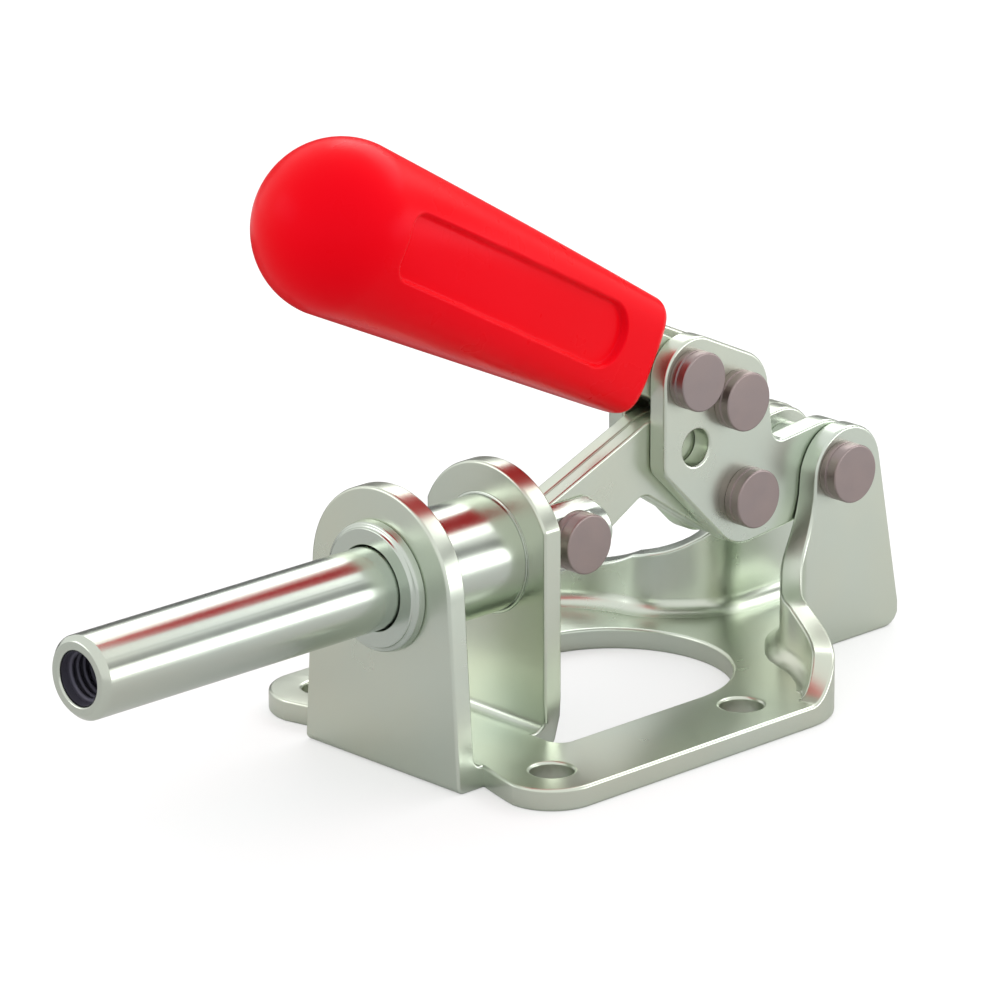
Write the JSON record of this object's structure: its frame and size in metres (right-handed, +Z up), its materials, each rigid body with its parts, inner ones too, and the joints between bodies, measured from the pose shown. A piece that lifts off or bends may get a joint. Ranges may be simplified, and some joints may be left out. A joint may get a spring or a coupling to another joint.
{
  "type": "push-pull toggle clamp",
  "caption": "Push-pull toggle clamp with a stamped flanged base, a sleeve-guided plunger with a threaded tip, an over-centre riveted linkage and a red moulded grip.",
  "frame": {"origin": "centre of the four base holes, on the underside of the base", "axes": "+X forward along the plunger, +Y to the side, +Z up"},
  "size_m": [0.1609, 0.0666, 0.0982],
  "materials": {
    "plated_sheet": "satin zinc plating",
    "turned_steel": "turned, bright zinc plating",
    "rivet_steel": "satin, coppery grey",
    "red_grip": "glossy moulded vinyl"
  },
  "bodies": {
    "base": {"base_bracket": "plated_sheet", "guide_sleeve": "turned_steel", "pivot_rivet": "rivet_steel"},
    "handle": {"handle_plate_near": "plated_sheet", "handle_plate_far": "plated_sheet", "handle_bar": "plated_sheet", "front_grip_rivet": "rivet_steel", "rear_grip_rivet": "rivet_steel", "grip": "red_grip", "link_rivet": "rivet_steel", "pivot_spacer": "turned_steel"},
    "link": {"link_plate_near": "plated_sheet", "link_plate_far": "plated_sheet"},
    "plunger": {"plunger": "turned_steel", "plunger_rivet": "rivet_steel"}
  },
  "joints": [
    {"name": "handle_swing", "type": "hinge", "parent": "base", "child": "handle", "pos_m": [-0.0573, 0, 0.0288], "axis": [0, -1, 0], "range_deg": [0, 138]},
    {"name": "link_swing", "type": "hinge", "parent": "handle", "child": "link", "pos_m": [-0.03993, 0, 0.02776], "axis": [0, -1, 0], "range_deg": [-159.8, 0]},
    {"name": "plunger_slide", "type": "slide", "parent": "base", "child": "plunger", "axis": [1, 0, 0], "range_m": [-0.0318, 0]}
  ],
  "couplings": [
    {"joint": "link_swing", "follows": "handle_swing", "ratio": -1.158},
    {"joint": "plunger_slide", "follows": "handle_swing", "m_per_rad": -0.013189}
  ]
}
